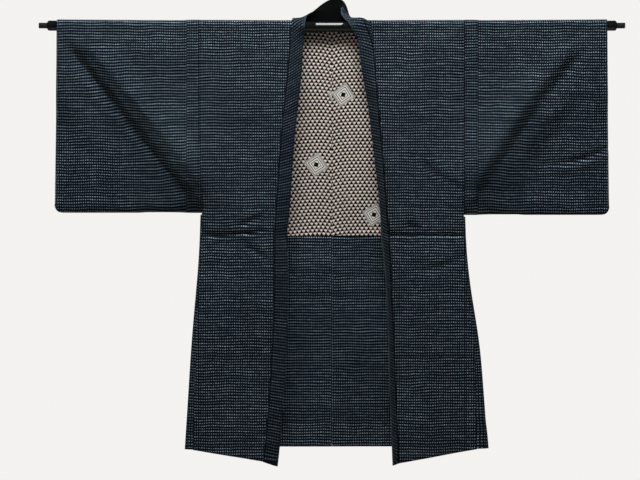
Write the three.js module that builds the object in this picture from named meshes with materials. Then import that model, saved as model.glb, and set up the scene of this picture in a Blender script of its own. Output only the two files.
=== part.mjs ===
// A lined cotton haori, a hip-length Japanese jacket, hung open by its sleeves on a round rod.
// Millimetres, +Z up, +X to the viewer's right, -Y towards the viewer, who sees the open front.
// The origin is the middle of the line through the rod's two end pins.
import * as THREE from "three";

// Driving sizes of the haori.
const cuffReach = 650; // centre back to the cuff
const shoulderWidth = 314; // centre back to the sleeve seam
const leftSleeveDepth = 453; // shoulder fold to the sleeve's lower edge
const rightSleeveDepth = 458;
const cuffOpening = 230; // open length of the cuff, below the shoulder fold
const sleeveCorner = 16; // radius of the sleeve's lower outer corner
const sleeveBend = 14; // height over which the front of a sleeve turns round into its back
const sleeveFlare = 5; // how much further out the cuff's lower end hangs
const backHem = -996; // height of the back's lower edge
const turnUpTop = -500; // height where the turned-up cloth meets the lining
const storageCrease = -497; // height of the crease from folding the haori in half
const collarLeaf = 34; // width of each leaf of the folded collar
const collarOverlap = 2.5; // how far the collar's free edge reaches past its seam
const seamAllowance = 28; // width of the cloth pressed into the sleeve beside its seam

// Thickness of the cloth walls and the gaps between them.
const bodyCloth = 2;
const liningCloth = 1.4;
const sleeveCloth = 2.8;
const collarCloth = 2.4;
const allowanceCloth = 1.4;
const seamGap = 0.3;
const layerGap = 0.6;
const collarLay = 3.2; // middle of one collar leaf to the middle of the other
const hemRadius = 1.35; // half the way between the two layers of the turned-up hem
const hemTurns = [30, 90, 150]; // degrees round the turned hem at which it has a row of points
const turnUpInset = 2; // how much narrower the turned-up cloth is at the side
const liningClear = 2; // least height of the lining's foot above the turned-up cloth
const edgeClear = 0.1; // further room between a front and the collar sewn to it

// How the cloth hangs, as depths below the rod and distances along it.
const rodCalm = 60; // the cloth is flat at the rod, and free of it this far down
const sleeveCalm = 60; // the body's waves die out this far into a sleeve
const leftLift = 5; // how far the front edges swing forward
const rightLift = 16;
const liftStart = 30;
const liftFull = 330;
const liftReach = 80; // how far in from the edge they do so
const bellyDepth = 4; // how far the fronts belly out half-way down
const frontLength = 1030;
const creaseDepth = 3;
const creaseWidth = 9;
const backCreaseShare = 0.5; // the crease is this much shallower on the back
const foldStart = 0; // shares of a fold's length between which it grows and fades
const foldFull = 0.55;
const foldFading = 0.8;
const foldEnd = 1.12;
const drawnIn = 190; // the sleeve's layers draw together this far out from its seam
const drawnTop = 60;
const drawnFoot = 430;
const drawnSpread = 6; // middle plane to the middle of a drawn layer
const shutSpread = 2; // the same where the cuff is sewn shut
const shutWidth = 70; // width of the band in which they meet
const shutEdge = 4; // shut width beside the edge

// Driving sizes of the rod.
const rodRadius = 12;
const rodHalf = 673;
const rodSag = 3;
const rodChamfer = 3;
const pinRadius = 6.8;
const pinLength = 20;

// Radii at which the middle of each cloth wall passes over the rod.
const liningRadius = rodRadius + layerGap + liningCloth / 2;
const bodyRadius = liningRadius + liningCloth / 2 + seamGap + bodyCloth / 2;
const sleeveRadius = rodRadius + layerGap + sleeveCloth / 2;

// The front edges, from the collar's foot up to the neck, as distances from the centre line:
// the fold of the collar, and its free edge, which lies over the seam.
const leftFront = [
  { z: -1040, fold: 125, edge: 165 },
  { z: -1003, fold: 124, edge: 159 },
  { z: -845, fold: 113, edge: 147 },
  { z: -650, fold: 104, edge: 137 },
  { z: -560, fold: 104, edge: 137 },
  { z: -500, fold: 107, edge: 137 },
  { z: -446, fold: 101, edge: 134 },
  { z: -260, fold: 88, edge: 121 },
  { z: -120, fold: 73, edge: 107 },
  { z: -30, fold: 67, edge: 99 },
];
const rightFront = [
  { z: -1042, fold: 143, edge: 155 },
  { z: -850, fold: 135, edge: 146 },
  { z: -650, fold: 129, edge: 140 },
  { z: -554, fold: 121, edge: 136 },
  { z: -500, fold: 115, edge: 134 },
  { z: -446, fold: 114, edge: 129 },
  { z: -295, fold: 97, edge: 118 },
  { z: -177, fold: 83, edge: 108 },
  { z: -94, fold: 68, edge: 102 },
  { z: -30, fold: 57, edge: 97 },
];

// The side edges: seam is where the front and back meet the gusset, outline is the gusset's fold.
const leftSide = [
  { z: -1003, seam: 328, outline: 349 },
  { z: -885, seam: 325, outline: 341 },
  { z: -750, seam: 320, outline: 332 },
  { z: -620, seam: 315, outline: 320 },
  { z: -540, seam: 310, outline: 313 },
  { z: -447, seam: 307, outline: 309 },
  { z: -200, seam: 313, outline: 315 },
  { z: 20, seam: 314, outline: 316 },
];
const rightSide = [
  { z: -1003, seam: 342, outline: 370 },
  { z: -885, seam: 339, outline: 361 },
  { z: -750, seam: 334, outline: 349 },
  { z: -620, seam: 321, outline: 327 },
  { z: -540, seam: 314, outline: 318 },
  { z: -447, seam: 311, outline: 313 },
  { z: -200, seam: 313, outline: 315 },
  { z: 20, seam: 314, outline: 316 },
];

// The front hems, at the side seam and at the collar: the front drops towards its opening.
const leftHem = { side: -1003, collar: -1030 };
const rightHem = { side: -1001, collar: -1033 };
const collarFoot = -1041; // height of the collar's lower corners

// The neck cut: s is the way along the cloth from the shoulder fold, positive down the back.
const neckCut = [
  { s: -16, x: 92 },
  { s: -10.5, x: 91 },
  { s: -5, x: 89.5 },
  { s: 0, x: 88 },
  { s: 5, x: 86.5 },
  { s: 10, x: 83.5 },
  { s: 14.5, x: 77 },
  { s: 18, x: 64 },
  { s: 20.3, x: 44 },
  { s: 21, x: 22 },
  { s: 21.3, x: 0 },
];

// The collar round the neck, from the left shoulder over the back to the right shoulder:
// at is the way along its seam from the centre back, fold and edge are points in space.
const neckCollar = [
  { at: -106, fold: [-65, -19, -1], edge: [-95, -17, 10] },
  { at: -96, fold: [-64, -10, 12], edge: [-92, 0, 18] },
  { at: -84, fold: [-60, -1, 22], edge: [-83, 21, 16] },
  { at: -66, fold: [-51, 9, 31], edge: [-62, 36, 22] },
  { at: -44, fold: [-36, 16, 37], edge: [-41, 42, 39] },
  { at: -20, fold: [-15, 20, 36], edge: [-14, 31, 61] },
  { at: 0, fold: [4, 21, 35], edge: [7, 27, 69] },
  { at: 18, fold: [20, 20, 40], edge: [26, 28, 67] },
  { at: 30, fold: [26, 16, 48], edge: [34, 27, 54] },
  { at: 46, fold: [22, 11, 41], edge: [38, 29, 37] },
  { at: 66, fold: [21, 4, 31], edge: [42, 25, 21] },
  { at: 84, fold: [30, -6, 17], edge: [55, 14, 19] },
  { at: 96, fold: [40, -14, 5], edge: [70, 0, 18] },
  { at: 106, fold: [47, -19, -6], edge: [84, -17, 11] },
];

// The large folds. Each crest runs from one point to another; its cloth stands out by rise,
// falls away over steep on the lower outer side and over slow on the other.
const frontFolds = [
  { x0: -640, z0: -20, x1: -300, z1: -440, rise: 21, steep: 26, slow: 95 },
  { x0: 640, z0: -20, x1: 318, z1: -430, rise: 18, steep: 34, slow: 90 },
];
const backFolds = [
  { x0: -630, z0: -30, x1: -330, z1: -420, rise: 12, steep: 36, slow: 90 },
  { x0: 630, z0: -30, x1: 330, z1: -420, rise: 13, steep: 36, slow: 90 },
];

// Long soft waves that run down the hanging panels.
const frontWaves = [
  { x: -262, width: 34, rise: 3.5, top: -150, foot: -1100 },
  { x: -205, width: 28, rise: -2.5, top: -420, foot: -1100 },
  { x: 226, width: 36, rise: 3.5, top: -120, foot: -1100 },
  { x: 285, width: 26, rise: -2.5, top: -380, foot: -1100 },
];
const backWaves = [
  { x: -210, width: 46, rise: 6, top: -120, foot: -1100 },
  { x: -90, width: 40, rise: -3, top: -300, foot: -1100 },
  { x: 70, width: 42, rise: 4, top: -260, foot: -1100 },
  { x: 190, width: 48, rise: 6, top: -140, foot: -1100 },
];

const { clamp, lerp } = THREE.MathUtils;
const ease = (from, to, value) => THREE.MathUtils.smoothstep(value, from, to);
const bell = (distance, width) => Math.exp(-((distance / width) ** 2));
const quarterTurn = Math.PI / 2;

// A column of a table at a place between its rows, with smooth joins. Rows run upwards in `by`.
function read(table, by, column, place) {
  const last = table.length - 1;
  const at = clamp(place, table[0][by], table[last][by]);
  const i = clamp(table.findIndex((row) => row[by] > at) - 1, 0, last - 1);
  const low = at >= table[last][by] ? last - 1 : i;
  const slope = (k) => {
    const a = table[Math.max(k - 1, 0)];
    const b = table[Math.min(k + 1, last)];
    return (b[column] - a[column]) / (b[by] - a[by]);
  };
  const span = table[low + 1][by] - table[low][by];
  const t = (at - table[low][by]) / span;
  const u = 1 - t;
  return (
    table[low][column] * u * u * (1 + 2 * t) +
    table[low + 1][column] * t * t * (1 + 2 * u) +
    slope(low) * span * t * u * u -
    slope(low + 1) * span * u * t * t
  );
}

// Height of the rod's centre line, which sags a little in the middle.
const rodZ = (x) => -rodSag * (1 - (x / rodHalf) ** 2);

// The sleeves' crest folds: how far the cloth stands out from its plain hanging shape.
function foldRelief(folds, x, z) {
  return folds.reduce((sum, fold) => {
    const runX = fold.x1 - fold.x0;
    const runZ = fold.z1 - fold.z0;
    const length = Math.hypot(runX, runZ);
    const along = ((x - fold.x0) * runX + (z - fold.z0) * runZ) / length ** 2;
    const outer = Math.sign(runX);
    const across = (outer * ((x - fold.x0) * runZ - (z - fold.z0) * runX)) / length;
    const shape = bell(across, across > 0 ? fold.steep : fold.slow);
    const strength = ease(foldStart, foldFull, along) * (1 - ease(foldFading, foldEnd, along));
    return sum + fold.rise * strength * shape;
  }, 0);
}

// The soft upright waves of the hanging panels.
function waveRelief(waves, x, z) {
  return waves.reduce((sum, wave) => {
    const strength = ease(-wave.top, -wave.foot, -z);
    return sum + wave.rise * strength * bell(x - wave.x, wave.width);
  }, 0);
}

const creaseRelief = (z) => -creaseDepth * bell(z - storageCrease, creaseWidth);

// 1 on the body, dying out into the sleeve.
const bodyShare = (x) => 1 - ease(shoulderWidth, shoulderWidth + sleeveCalm, Math.abs(x));

// How far the front layer stands forward of the line straight down from the rod.
function frontRelief(x, z) {
  const table = x < 0 ? leftFront : rightFront;
  const fromEdge = Math.abs(x) - read(table, "z", "edge", z);
  const lift = x < 0 ? leftLift : rightLift;
  const edgeLift = lift * ease(liftStart, liftFull, -z) * bell(Math.max(fromEdge, 0), liftReach);
  const belly = bellyDepth * Math.sin(Math.PI * clamp(-z / frontLength, 0, 1));
  const body = belly + edgeLift + waveRelief(frontWaves, x, z) + creaseRelief(z);
  return ease(0, rodCalm, -z) * (body * bodyShare(x) + foldRelief(frontFolds, x, z));
}

// How far the back layer stands behind the line straight down from the rod.
function backRelief(x, z) {
  const body = waveRelief(backWaves, x, z) + backCreaseShare * creaseRelief(z);
  return ease(0, rodCalm, -z) * (body * bodyShare(x) + foldRelief(backFolds, x, z));
}

const frontTable = (side) => (side < 0 ? leftFront : rightFront);
const sideAt = (side, column, z) => read(side < 0 ? leftSide : rightSide, "z", column, z);
const frontY = (x, z) => -bodyRadius - frontRelief(x, z);
const backY = (x, z) => bodyRadius + backRelief(x, z);

// One section of the collar down a front: its seam, its fold and its free edge, level at height z.
// The leaf keeps its width, so where it looks narrower from the front its fold lies further back.
function frontCollar(side, z) {
  const table = frontTable(side);
  const edgeX = read(table, "z", "edge", z);
  const foldX = read(table, "z", "fold", z);
  const turn = Math.acos(clamp((edgeX - foldX) / collarLeaf, 0, 1));
  const inward = new THREE.Vector3(-side * Math.cos(turn), Math.sin(turn), 0);
  const behind = new THREE.Vector3(side * Math.sin(turn), Math.cos(turn), 0);
  const edge = new THREE.Vector3(side * edgeX, 0, z);
  const seam = edge.clone().addScaledVector(behind, collarLay).addScaledVector(inward, collarOverlap);
  const shift = frontY(seam.x, z) - seam.y;
  edge.y += shift;
  seam.y += shift;
  const fold = edge.clone().addScaledVector(behind, collarLay / 2).addScaledVector(inward, collarLeaf);
  return { seam, fold, edge };
}

// Where the front panel starts, clear of the collar leaf that is sewn to it.
function panelEdge(side, z) {
  const { seam, fold } = frontCollar(side, z);
  const turned = Math.abs(fold.y - seam.y) / fold.distanceTo(seam);
  return Math.abs(seam.x) + seamGap + edgeClear + (turned * collarCloth) / 2;
}

// A point of a body panel over the shoulder: s is the way along the cloth from the shoulder fold.
function shoulderPoint(x, s) {
  const angle = s / bodyRadius;
  return new THREE.Vector3(x, bodyRadius * Math.sin(angle), rodZ(x) + bodyRadius * Math.cos(angle));
}

// Evenly spaced numbers from one end to the other, no further apart than step.
function spaced(from, to, step) {
  const count = Math.ceil(Math.abs(to - from) / step);
  return Array.from({ length: count + 1 }, (_, k) => lerp(from, to, k / count));
}

// The directions in which a grid of points faces. With ring, each row closes on itself.
function gridNormals(rows, ring = false) {
  const height = rows.length;
  const width = rows[0].length;
  const beside = (j, step) => (ring ? (j + step + width) % width : clamp(j + step, 0, width - 1));
  return rows.map((row, i) =>
    row.map((_, j) => {
      const acrossRow = row[beside(j, 1)].clone().sub(row[beside(j, -1)]);
      const downRows = rows[Math.min(i + 1, height - 1)][j].clone().sub(rows[Math.max(i - 1, 0)][j]);
      return acrossRow.cross(downRows).normalize();
    }),
  );
}

// A closed cloth wall over a grid of points, with its two faces moved out from them.
// outside may be a number, or a function of the point.
function clothWall(rows, inside, outside, { ring = false, normals = gridNormals(rows, ring) } = {}) {
  const height = rows.length;
  const width = rows[0].length;
  const positions = [];
  const outOf = typeof outside === "function" ? outside : () => outside;
  for (const face of [1, -1]) {
    rows.forEach((row, i) =>
      row.forEach((point, j) => {
        const distance = face > 0 ? outOf(point) : -inside;
        positions.push(...point.clone().addScaledVector(normals[i][j], distance));
      }),
    );
  }
  const outer = (i, j) => i * width + (j % width);
  const inner = (i, j) => height * width + outer(i, j);
  const index = [];
  const apart = (a, b) => Math.hypot(...[0, 1, 2].map((k) => positions[3 * a + k] - positions[3 * b + k]));
  const quad = (a, b, c, d) => {
    if (apart(a, c) <= apart(b, d)) index.push(a, b, c, a, c, d);
    else index.push(a, b, d, b, c, d);
  };
  const cells = ring ? width : width - 1;
  for (let i = 0; i < height - 1; i++) {
    for (let j = 0; j < cells; j++) {
      quad(outer(i, j), outer(i, j + 1), outer(i + 1, j + 1), outer(i + 1, j));
      quad(inner(i, j), inner(i + 1, j), inner(i + 1, j + 1), inner(i, j + 1));
    }
  }
  for (let j = 0; j < cells; j++) {
    const end = height - 1;
    quad(outer(0, j), inner(0, j), inner(0, j + 1), outer(0, j + 1));
    quad(outer(end, j), outer(end, j + 1), inner(end, j + 1), inner(end, j));
  }
  if (!ring) {
    const end = width - 1;
    for (let i = 0; i < height - 1; i++) {
      quad(outer(i, 0), outer(i + 1, 0), inner(i + 1, 0), inner(i, 0));
      quad(outer(i, end), inner(i, end), inner(i + 1, end), outer(i + 1, end));
    }
  }
  return meshGeometry(positions, index);
}

function meshGeometry(positions, index) {
  const geometry = new THREE.BufferGeometry();
  geometry.setAttribute("position", new THREE.Float32BufferAttribute(positions, 3));
  geometry.setIndex(index);
  geometry.computeVertexNormals();
  return geometry;
}

// Rows of a left-hand piece run the other way, so that its faces still point out.
const facing = (side, row) => (side < 0 ? row.slice().reverse() : row);

const panelShares = [0, 0.07, 0.16, 0.28, 0.42, 0.58, 0.78, 1];
const creaseRows = [12, 0, -12].map((step) => storageCrease + step);
const creaseBand = 40; // half the height of the band that has only these rows
const frontStep = 44; // furthest apart of the rows of points on a front
const backStep = 70;
const turnUpStep = 82;
const hemRoom = 3; // the last straight row above a turned hem

// Front and back rows, from the rod down to the hem, with rows on each side of the storage crease.
function panelHeights(foot, step) {
  const above = spaced(0, storageCrease + creaseBand, step);
  const below = spaced(storageCrease - creaseBand, foot, step);
  return [...above, ...creaseRows, ...below];
}

// Height of a point of the body: its level, lowered near the rod by the rod's sag.
const sagged = (x, z) => z + rodZ(x) * ease(-rodCalm, 0, z);

// A level near the front hem, stretched down from hemStart so that its lowest row reaches drop.
function hemDrop(level, lowest, drop) {
  const hemStart = -900;
  return level > hemStart ? level : lerp(hemStart, drop, (level - hemStart) / (lowest - hemStart));
}

// Where a body panel ends at its side, beside the sleeve or the gusset.
const sideEdge = (side, z) => sideAt(side, "seam", z) - seamGap / 2;

// One side of the body, cut as one length: up the front, over the shoulder, down the back,
// and turned up inside the back's hem as far as the lining.
function bodyGrid(side) {
  const hem = side < 0 ? leftHem : rightHem;
  const rows = [];
  const across = (from, to, place) =>
    rows.push(facing(side, panelShares.map((share) => place(side * lerp(from, to, share), share))));
  for (const level of panelHeights(hem.side, frontStep).reverse()) {
    const inner = panelEdge(side, hemDrop(level, hem.side, hem.collar));
    across(inner, sideEdge(side, level), (x, share) => {
      const z = hemDrop(level, hem.side, lerp(hem.collar, hem.side, share));
      return new THREE.Vector3(x, frontY(x, z), sagged(x, z));
    });
  }
  for (const cut of neckCut) {
    const inner = Math.max(cut.x, seamGap / 2);
    across(inner, sideEdge(side, 0), (x) => shoulderPoint(x, cut.s));
  }
  for (const level of panelHeights(backHem + hemRoom, backStep)) {
    across(seamGap / 2, sideEdge(side, level), (x) =>
      new THREE.Vector3(x, backY(x, level), sagged(x, level)),
    );
  }
  for (const angle of hemTurns) {
    const turn = THREE.MathUtils.degToRad(angle);
    across(seamGap / 2, sideEdge(side, backHem), (x) => {
      const y = backY(x, backHem) - hemRadius * (1 - Math.cos(turn));
      return new THREE.Vector3(x, y, backHem + hemRadius * (1 - Math.sin(turn)));
    });
  }
  for (const level of spaced(backHem + hemRoom, turnUpTop, turnUpStep)) {
    across(seamGap / 2, sideEdge(side, level) - turnUpInset, (x) =>
      new THREE.Vector3(x, backY(x, level) - 2 * hemRadius, level),
    );
  }
  return rows;
}

const bodyPanel = (side) => clothWall(bodyGrid(side), bodyCloth / 2, bodyCloth / 2);

// Half of the patterned lining, made from the body's own points: it lies against the inside of
// the back, from the shoulder fold to the turned-up cloth.
function liningPanel(side) {
  const rows = bodyGrid(side);
  const normals = gridNormals(rows);
  const shoulder = rows.findIndex((row) => row[0].y > -layerGap);
  const foot = rows.findIndex((row, i) => i > shoulder && row[0].z < turnUpTop + liningClear);
  const part = (grid) => grid.slice(shoulder, foot);
  const outside = -(bodyCloth / 2 + seamGap);
  return clothWall(part(rows), liningCloth - outside, outside, { normals: part(normals) });
}

// How far a sleeve's front or back layer lies from its middle plane: the layers hang apart at the
// rod and the armhole, draw together low down, and meet where the cuff is sewn shut.
function sleeveSpread(x, z, relief) {
  const out = Math.abs(x);
  const drawn = ease(shoulderWidth, shoulderWidth + drawnIn, out) * ease(drawnTop, drawnFoot, -z);
  const plain = lerp(bodyRadius, drawnSpread, drawn) + relief(x, z);
  const besideEdge = ease(cuffReach - shutWidth, cuffReach - shutEdge, out);
  const shut = besideEdge * ease(cuffOpening - shutWidth, cuffOpening, -z);
  return lerp(plain, shutSpread, shut);
}

const seamFollow = 110; // the sleeve's cloth follows its bent seam this far out
const sleeveFrontRows = 19;
const sleeveBackRows = 15;
const footRise = 0.2; // a middle point of the rounded foot: its share of the bend's height,
const footOut = 0.62; // and of the layer's distance from the middle plane

// One section of a sleeve: up the front layer, over the rod, down the back and round the foot.
// place is its distance from the centre back, measured at the foot.
function sleeveSection(side, place) {
  const depth = side < 0 ? leftSleeveDepth : rightSleeveDepth;
  const seam = shoulderWidth + seamGap / 2;
  const cuff = cuffReach + sleeveFlare;
  const cornerIn = clamp(place - cuff + sleeveCorner, 0, sleeveCorner);
  const rounding = sleeveCorner - Math.sqrt(sleeveCorner ** 2 - cornerIn ** 2);
  const foot = sleeveRadius + rodZ(shoulderWidth) - depth + rounding;
  const followSeam = 1 - ease(seam + seamAllowance, seam + seamFollow, place);
  const xAt = (z) => {
    const flare = ((place - seam) / (cuff - seam)) * sleeveFlare * (1 - ease(0, depth, -z));
    const follow = followSeam * (sideAt(side, "seam", z) - sideAt(side, "seam", 0));
    return side * (place - flare + follow);
  };
  const over = spaced(-quarterTurn, quarterTurn, quarterTurn / 4).map((angle) => {
    const x = xAt(0);
    return new THREE.Vector3(x, sleeveRadius * Math.sin(angle), rodZ(x) + sleeveRadius * Math.cos(angle));
  });
  const layer = (count, relief, sign) =>
    Array.from({ length: count }, (_, k) => {
      const z = lerp(0, foot + sleeveBend, (k + 1) / count);
      const x = xAt(z);
      return new THREE.Vector3(x, sign * sleeveSpread(x, z, relief), z);
    });
  const front = layer(sleeveFrontRows, frontRelief, -1);
  const back = layer(sleeveBackRows, backRelief, 1);
  const under = [
    [back[back.length - 1].y * footOut, foot + sleeveBend * footRise],
    [0, foot],
    [front[front.length - 1].y * footOut, foot + sleeveBend * footRise],
  ].map(([y, z]) => new THREE.Vector3(xAt(foot), y, z));
  return [...front.reverse(), ...over, ...back, ...under];
}

const allowanceStep = 4; // width of the slope at the edge of the pressed allowance
const sleeveStep = 25; // furthest apart of the sleeve's sections
const cornerShares = [0.35, 0.65, 0.88, 1]; // where the rounded corner has a section

// A sleeve: one piece folded at the shoulder, a tube that is open to the body and at the cuff.
// Beside its seam it is raised by the allowance pressed into it.
function sleeve(side) {
  const seam = shoulderWidth + seamGap / 2;
  const allowanceEdge = seam + seamAllowance;
  const cornerStart = cuffReach + sleeveFlare - sleeveCorner;
  const places = [
    ...spaced(seam, allowanceEdge, seamAllowance / 2),
    allowanceEdge + allowanceStep,
    ...spaced(allowanceEdge + sleeveStep, cornerStart, sleeveStep),
    ...cornerShares.map((share) => cornerStart + share * sleeveCorner),
  ];
  const rows = places.map((place) => {
    const section = sleeveSection(side, place);
    return side > 0 ? section.reverse() : section;
  });
  const outside = (point) => {
    const raised = 1 - ease(allowanceEdge, allowanceEdge + allowanceStep, Math.abs(point.x));
    return sleeveCloth / 2 + allowanceCloth * raised;
  };
  return clothWall(rows, sleeveCloth / 2, outside, { ring: true });
}

const gussetStep = 62; // furthest apart of the gusset's sections
const gussetBelow = 8; // how far below the sleeve's foot it starts
const gussetLeast = 3; // least way from its seam to its fold
const gussetBow = { out: 0.75, back: 0.55 }; // shares at which each half bends towards the fold

// A side gusset, folded outwards between the front and back from the sleeve's foot to the hem.
function gusset(side) {
  const clear = bodyCloth / 2 + 2 * seamGap;
  const hem = side < 0 ? leftHem.side : rightHem.side;
  const top = sleeveRadius - (side < 0 ? leftSleeveDepth : rightSleeveDepth) - gussetBelow;
  const rows = spaced(top, hem + 1, gussetStep).map((z) => {
    const seam = sideAt(side, "seam", z);
    const fold = Math.max(sideAt(side, "outline", z), seam + gussetLeast);
    const bow = lerp(seam, fold, gussetBow.out) + clear / 2;
    const front = frontY(side * seam, z);
    const back = backY(side * seam, z);
    const points = [
      [seam + clear, front],
      [bow, front * gussetBow.back],
      [fold, (front + back) / 2],
      [bow, back * gussetBow.back],
      [seam + clear, back],
    ];
    return facing(side, points.map(([x, y]) => new THREE.Vector3(side * x, y, z)));
  });
  return clothWall(rows.reverse(), bodyCloth / 2, bodyCloth / 2);
}

// The way along the neck cut from the centre back to each of its points, over the cloth.
function neckStations() {
  const half = [];
  let at = 0;
  [...neckCut].reverse().forEach((cut, k, cuts) => {
    if (k > 0) at += Math.hypot(cut.x - cuts[k - 1].x, cut.s - cuts[k - 1].s);
    half.push({ at, ...cut });
  });
  return half;
}

const vectorCurve = (rows, key) => (at) =>
  new THREE.Vector3(...[0, 1, 2].map((axis) => {
    const column = rows.map((row) => ({ at: row.at, value: row[key].getComponent(axis) }));
    return read(column, "at", "value", at);
  }));

const joinZ = -30; // height where the collar's front runs meet its curve round the neck
const joinRun = 38; // way along the seam from the shoulder fold to there
const joinLevels = [-8, -20]; // heights of the sections between
const neckStart = 12; // past this way down the back the seam keeps further from the body's edge

// The collar: one strip sewn up one front, round the neck and down the other front, folded
// lengthwise with its outer leaf turned out over the front. Round the back of the neck it stands up.
function collar() {
  const half = neckStations();
  const shoulderAt = half[half.length - 1].at;
  const joinAt = shoulderAt + joinRun;
  const ends = [-1, 1].map((side) => ({ at: side * joinAt, ...frontCollar(side, joinZ) }));
  const middle = neckCollar.map((row) => ({
    at: row.at,
    fold: new THREE.Vector3(...row.fold),
    edge: new THREE.Vector3(...row.edge),
  }));
  const keys = [ends[0], ...middle, ends[1]];
  const foldAt = vectorCurve(keys, "fold");
  const edgeAt = vectorCurve(keys, "edge");
  const frontRun = (side) => {
    const hem = side < 0 ? leftHem : rightHem;
    return panelHeights(hem.side, frontStep).filter((z) => z < joinZ).map((level) => {
      const section = frontCollar(side, hemDrop(level, hem.side, hem.collar));
      section.fold.z = hemDrop(level, hem.side, collarFoot);
      return section;
    });
  };
  const nearNeck = (side) => {
    const stations = half.filter((cut) => cut.x > 0).map((cut) => {
      const back = cut.s > neckStart ? 2 * seamGap : 0;
      const seam = shoulderPoint(side * (cut.x - 2 * seamGap), cut.s - back);
      return { seam, fold: foldAt(side * cut.at), edge: edgeAt(side * cut.at) };
    });
    const over = joinLevels.map((z, k) => {
      const at = side * lerp(shoulderAt, joinAt, (k + 1) / (joinLevels.length + 1));
      const { seam } = frontCollar(side, z);
      seam.z += rodZ(seam.x);
      return { seam, fold: foldAt(at), edge: edgeAt(at) };
    });
    return [...stations, ...over];
  };
  const centre = {
    seam: shoulderPoint(0, neckCut[neckCut.length - 1].s - 2 * seamGap),
    fold: foldAt(0),
    edge: edgeAt(0),
  };
  const sections = [
    ...frontRun(-1).reverse(),
    ...nearNeck(-1).reverse(),
    centre,
    ...nearNeck(1),
    ...frontRun(1),
  ];
  return clothWall(sections.map(collarSection), collarCloth / 2, collarCloth / 2);
}

const collarClear = rodRadius + layerGap + collarCloth / 2 + 1; // nearest to the rod's axis
const foldTurn = 3; // how far from its fold line each leaf starts to turn

// A point of the collar's middle line, moved out where it would lie too near the rod.
function clearOfRod(point) {
  const axis = new THREE.Vector3(point.x, 0, rodZ(point.x));
  const away = point.clone().sub(axis);
  return away.length() < collarClear ? axis.add(away.setLength(collarClear)) : point;
}

// The middle line of one collar section, with a round fold whose leaves stay apart.
function collarSection({ seam, fold, edge }) {
  const inLeaf = fold.clone().sub(seam).normalize();
  const outLeaf = edge.clone().sub(fold).normalize();
  const closed = clamp(-inLeaf.dot(outLeaf), 0, 1);
  const tip = inLeaf.clone().sub(outLeaf).normalize();
  const apart = seam.clone().sub(edge);
  apart.addScaledVector(tip, -apart.dot(tip)).normalize();
  const halfLay = (closed * collarLay) / 2;
  const near = (leaf, back, sign) =>
    fold.clone().addScaledVector(leaf, back).addScaledVector(apart, sign * halfLay);
  const before = near(inLeaf, -foldTurn, 1);
  const after = near(outLeaf, foldTurn, -1);
  const early = near(inLeaf, -fold.distanceTo(seam) / 2, 1);
  const late = near(outLeaf, fold.distanceTo(edge) / 2, -1);
  return [seam, early, before, fold, after, late, edge].map(clearOfRod);
}

const rodSides = 20;
const pinSides = 16;
const rodStep = 135; // furthest apart of the rod's sections

// A round bar along X through the given stations, closed at both ends.
function roundBar(stations, sides) {
  const positions = [];
  const index = [];
  stations.forEach(({ x, radius }) => {
    for (let k = 0; k < sides; k++) {
      const angle = (2 * Math.PI * k) / sides;
      positions.push(x, radius * Math.sin(angle), rodZ(x) + radius * Math.cos(angle));
    }
  });
  const first = stations[0];
  const last = stations[stations.length - 1];
  const firstCentre = positions.length / 3;
  positions.push(first.x, 0, rodZ(first.x), last.x, 0, rodZ(last.x));
  const point = (i, k) => i * sides + (k % sides);
  for (let k = 0; k < sides; k++) {
    for (let i = 0; i < stations.length - 1; i++) {
      index.push(point(i, k), point(i + 1, k), point(i + 1, k + 1));
      index.push(point(i, k), point(i + 1, k + 1), point(i, k + 1));
    }
    index.push(firstCentre, point(0, k), point(0, k + 1));
    index.push(firstCentre + 1, point(stations.length - 1, k + 1), point(stations.length - 1, k));
  }
  return meshGeometry(positions, index);
}

function rodBar() {
  const straight = spaced(-rodHalf + rodChamfer, rodHalf - rodChamfer, rodStep);
  return roundBar([
    { x: -rodHalf, radius: rodRadius - rodChamfer },
    ...straight.map((x) => ({ x, radius: rodRadius })),
    { x: rodHalf, radius: rodRadius - rodChamfer },
  ], rodSides);
}

function rodPin(side) {
  const root = rodHalf + seamGap;
  const stations = [root, root + pinLength].map((x) => ({ x: side * x, radius: pinRadius }));
  return roundBar(side < 0 ? stations.reverse() : stations, pinSides);
}

const navyCotton = new THREE.MeshStandardMaterial({ color: 0x17202e, roughness: 0.9, metalness: 0 });
const navyCollar = new THREE.MeshStandardMaterial({ color: 0x121923, roughness: 0.9, metalness: 0 });
const paleLining = new THREE.MeshStandardMaterial({ color: 0xc9b3a2, roughness: 0.75, metalness: 0 });
const blackRod = new THREE.MeshStandardMaterial({ color: 0x0b0c0c, roughness: 0.25, metalness: 0.2 });

const haori = new THREE.Group();
const addPiece = (name, geometry, material) => {
  const piece = new THREE.Mesh(geometry, material);
  piece.name = name;
  haori.add(piece);
};

for (const [name, side] of [["left", -1], ["right", 1]]) {
  addPiece(`body_${name}`, bodyPanel(side), navyCotton);
  addPiece(`sleeve_${name}`, sleeve(side), navyCotton);
  addPiece(`gusset_${name}`, gusset(side), navyCotton);
  addPiece(`lining_${name}`, liningPanel(side), paleLining);
  addPiece(`rod_pin_${name}`, rodPin(side), blackRod);
}
addPiece("collar", collar(), navyCollar);
addPiece("rod_bar", rodBar(), blackRod);

export default haori;
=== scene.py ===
import math
import random

import bmesh
import bpy
import numpy as np
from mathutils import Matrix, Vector
from mathutils.bvhtree import BVHTree


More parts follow.
